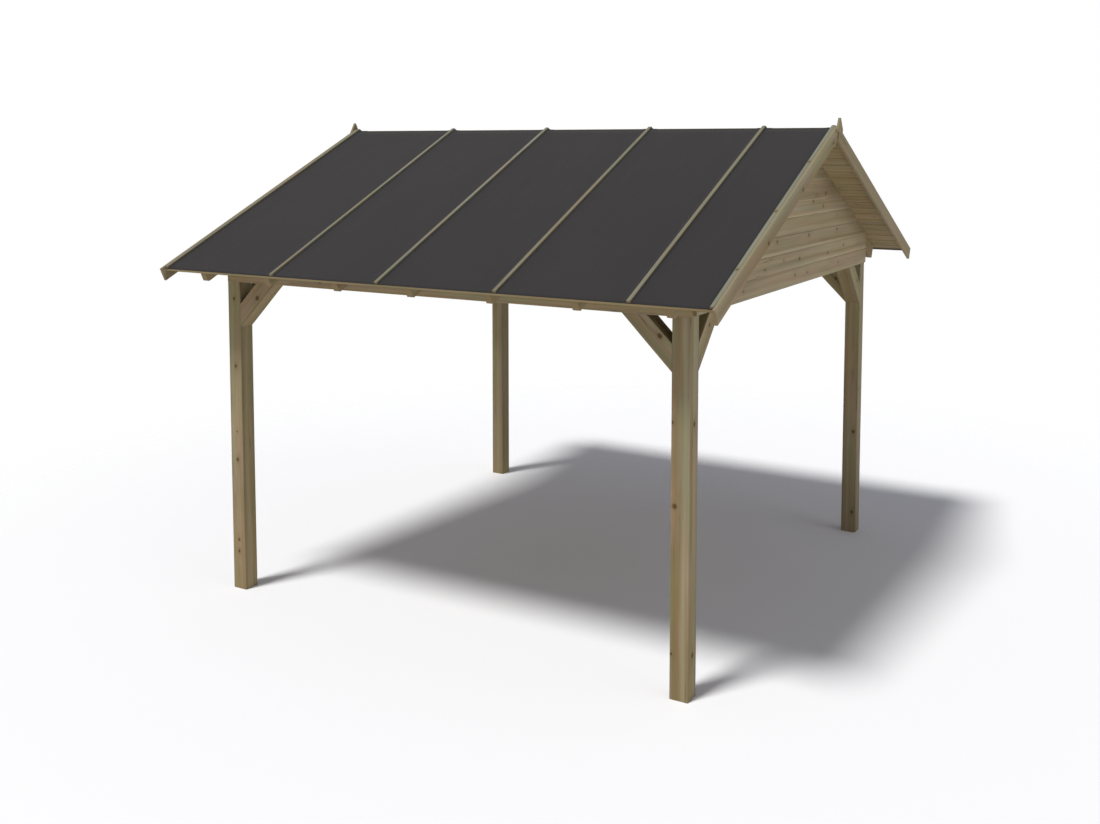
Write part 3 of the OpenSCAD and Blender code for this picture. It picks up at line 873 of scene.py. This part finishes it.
# at the top of a gable, no board is lower than this
LEAST = 0.01
for hand, sx in SIDES.items():
    node = f"gable_cladding_{hand}"
    low, high = (np.array(c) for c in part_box(node))
    parts = []
    starts = [(Y, low[1]), (off_slope(-1), ROOF_TOP * COS)]
    ends = [(Y, high[1]), (off_slope(1), ROOF_TOP * COS)]
    slot = ridge_w / 2 + GAP
    for i in range(math.ceil((high[2] - LEAST - low[2]) / COVER)):
        foot = low[2] + i * COVER
        top = min(foot + COVER, high[2])
        ring = matchboard(high[0] - low[0], CLAD_GROOVE)
        ring[:, 1] *= -1
        if top - foot < COVER - 1e-6:
            ring[:, 0] = np.clip(ring[:, 0], None, top - foot - COVER / 2 - 0.001)
        # the outline's first way across points up for +Y grain on the right side
        ring[:, 0] *= sx
        if sx > 0:
            first = max(low[1], (foot - ROOF_TOP) / TAN)
            given = [(0, s - first, c, r) for s, c, r in CLAD_KNOTS.get(i, [])]
            bands = [(0, *b[1:6], b[6] - first, b[7]) for b in CLAD_BANDS_AND_PAINTED_LIGHT if b[0] == i]
            tone = CLAD_TONES[min(i, len(CLAD_TONES) - 1)]
        else:
            given, bands, tone = [], [], LOG.uniform(-0.8, 0.8, 2)
        cuts = [(starts, ends)]
        if top > RIDGE_LOW[2] + LEAST:
            # the boards at the ridge stop on both sides of the ridge board
            cuts = [(starts, [(Y, -slot)]), ([(Y, slot)], ends)]
        for start, end in cuts:
            parts.append(timber(
                X * (low[0] + high[0]) / 2 + Z * (foot + COVER / 2), Y, X * sx, ring, start, end,
                every=1.3 if sx < 0 or i > 5 else NO_KNOTS, given=given, radius=(0.005, 0.009),
                tone=tone, bow=0.0002, bands=bands))
    piece(node + "_boards", parts, [node], CLAD_WOOD)


# ----------------------------------------------------------------- fixings
def heads(name, spots, radius, proud):
    """Nail heads: each is a low dome on ten-sided rings, from one under the
    wood to the top. A ring's radius is a part (wide) of the head's, and its
    height a part (tall) of how far the head stands proud."""
    spots, outward = (np.array(v, float) for v in zip(*spots))
    helper = np.where(abs(outward[:, :1]) > 0.6, Y, X)
    u = np.cross(outward, helper)
    u /= np.linalg.norm(u, axis=1)[:, None]
    v = np.cross(outward, u)
    turn = np.arange(10) * math.pi / 5
    wide = np.array([1, 1, 0.86, 0.45])[:, None, None]
    tall = np.array([-1.0, 0.35, 0.8, 1.0])[:, None, None]
    round_ = u[:, None] * np.cos(turn)[:, None] + v[:, None] * np.sin(turn)[:, None]
    points = (spots[:, None, None] + radius * wide * round_[:, None]
              + tall * proud * outward[:, None, None])
    index = np.arange(points.size // 3).reshape(points.shape[:3])
    nxt = np.roll(index, -1, axis=2)
    quads = np.stack([index[:, :-1], nxt[:, :-1], nxt[:, 1:], index[:, 1:]], -1).reshape(-1, 4)
    faces = quads.tolist() + index[:, 0, ::-1].tolist() + index[:, 3].tolist()
    mesh = bpy.data.meshes.new(name)
    mesh.from_pydata(points.reshape(-1, 3).tolist(), [], faces)
    mesh.update()
    return shown(name, mesh, (), ZINC)


spots = []
LATH_TOP = span("lath_pair_1")[3]
for side in (-1, 1):
    for lx in lath_x:
        for up in LATH_NAILS:
            spots.append((on_slope(side, lx, LAY_END - up, LATH_TOP), off_slope(side)))
heads("lath_nails", spots, 0.0036, 0.0010)
spots = []
CLAD_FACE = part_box("gable_cladding_right")[1].x
CLAD_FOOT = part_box("gable_cladding_right")[0].z
for sx in (-1, 1):
    for i in range(7):
        level = CLAD_FOOT + (i + 0.5) * COVER
        reach = min(HALF_DEPTH - 0.095, (ROOF_TOP - level) / TAN - 0.10)
        for sy in (-1, 1):
            for rise in (-0.03, 0.03):
                spots.append((np.array([sx * CLAD_FACE, sy * reach, level + rise]), X * sx))
heads("cladding_nails", spots, 0.0022, 0.0005)
spots = []
for hand, sx in SIDES.items():
    x0, x1, low, high, reach = span(f"bargeboard_back_{hand}")
    for sy in (-1, 1):
        for down in (0.10, 0.75, 1.40, 2.05):
            for level in (low + 0.022, high - 0.022):
                spots.append((on_slope(sy, x1 if sx > 0 else x0, down, level), X * sx))
heads("bargeboard_nails", spots, 0.0024, 0.0005)
spots = []
brace_low, brace_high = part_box("eave_brace_front_right")
run = brace_high.z - brace_low.z
slant = math.sqrt(0.5)
for sy in (-1, 1):
    for sx in (-1, 1):
        for part in (0.22, 0.78):
            for shift in (-0.03, 0.03):
                level = brace_low.z + run * part
                across = HALF_LENGTH - POST_W - run * part
                middle = HALF_DEPTH - POST_W / 2 + shift
                spots.append((np.array([sx * across, sy * middle, level]), np.array([-sx, 0, -1]) * slant))
                spots.append((np.array([sx * middle, sy * across, level]), np.array([0, -sy, -1]) * slant))
heads("brace_screws", spots, 0.0050, 0.0005)

# ------------------------------------------------- floor, lamps and camera
# the floor is a disc just under the posts, and the radii of its rings grow as
# the square of their number
FLOOR_LEVEL, FLOOR_RADIUS, RINGS, TURNS = -0.0005, 60, 48, 64
ring = np.linspace(0, 1, RINGS + 1)[1:, None] ** 2 * FLOOR_RADIUS
turn = np.arange(TURNS) * 2 * math.pi / TURNS
disc = np.stack(np.broadcast_arrays(ring * np.cos(turn), ring * np.sin(turn), FLOOR_LEVEL), -1)
index = np.arange(RINGS * TURNS).reshape(RINGS, TURNS)
nxt = np.roll(index, -1, axis=1)
faces = np.stack([index[:-1], index[1:], nxt[1:], nxt[:-1]], -1).reshape(-1, 4).tolist()
mesh = bpy.data.meshes.new("floor")
mesh.from_pydata(disc.reshape(-1, 3).tolist(), [], [index[0].tolist()] + faces)
mesh.update()
floor = bpy.data.objects.new("floor", mesh)
bpy.context.scene.collection.objects.link(floor)

# far from the shelter the floor gives way to the white of the room
f = Finish(bpy.data.materials.new("pale_floor"))
px, py, _ = f.parts(f.node("TexCoord", out=3))
away = ((px - 0.35) ** 2 + (py - 0.7) ** 2) ** 0.5
fade = f.step(away, 3.4, 7.5)
paint = f.node("BsdfDiffuse", sockets={"Color": (0.884, 0.893, 0.912, 1)})
clear = f.node("BsdfTransparent")
mixed = f.node("MixShader", sockets={0: fade * f.looked_at(), 1: paint, 2: clear})
f.node("OutputMaterial", sockets={"Surface": mixed})
mesh.materials.append(f.owner)

# the room gives a soft light, and is plain white to look at
world = bpy.data.worlds.new("pale_room")
bpy.context.scene.world = world
f = Finish(world)
room = f.node("Background", sockets={"Color": (0.915, 0.92, 1.03, 1), "Strength": 0.266})
white = f.node("Background", sockets={"Color": (1, 1, 1, 1), "Strength": 1.0})
mixed = f.node("MixShader", sockets={0: f.looked_at(), 1: room, 2: white})
f.node("OutputWorld", sockets={"Surface": mixed})


def soft_sun(name, energy, angle, toward, colour):
    """A far lamp that shines from the direction given."""
    lamp = bpy.data.lights.new(name, "SUN")
    lamp.energy = energy
    lamp.angle = math.radians(angle)
    lamp.color = colour
    stand = bpy.data.objects.new(name, lamp)
    bpy.context.scene.collection.objects.link(stand)
    x, y, z = toward
    stand.rotation_euler = (math.atan2(math.hypot(x, y), z), 0, math.atan2(y, x) + math.pi / 2)


# the key stands in front, a little to the left and about 63 degrees up, and
# a weak fill low on the right
soft_sun("soft_key", 2.90, 12.4, (-0.184, -0.463, 1.0), (1.0, 0.985, 0.96))
soft_sun("soft_fill", 0.515, 50, (1.0, -0.05, 0.22), (0.94, 0.99, 0.99))

# the eye is in front, to the right and at the height of the roof
lens = bpy.data.cameras.new("camera")
lens.sensor_width = 36
lens.lens = 38.42
lens.shift_y = -0.16
camera = bpy.data.objects.new("camera", lens)
camera.location = (4.512, -8.065, 3.305)
camera.rotation_euler = (math.radians(90 - 4.4525), 0, math.radians(30.146))
bpy.context.scene.collection.objects.link(camera)
bpy.context.scene.camera = camera
bpy.context.scene.view_settings.view_transform = "Standard"
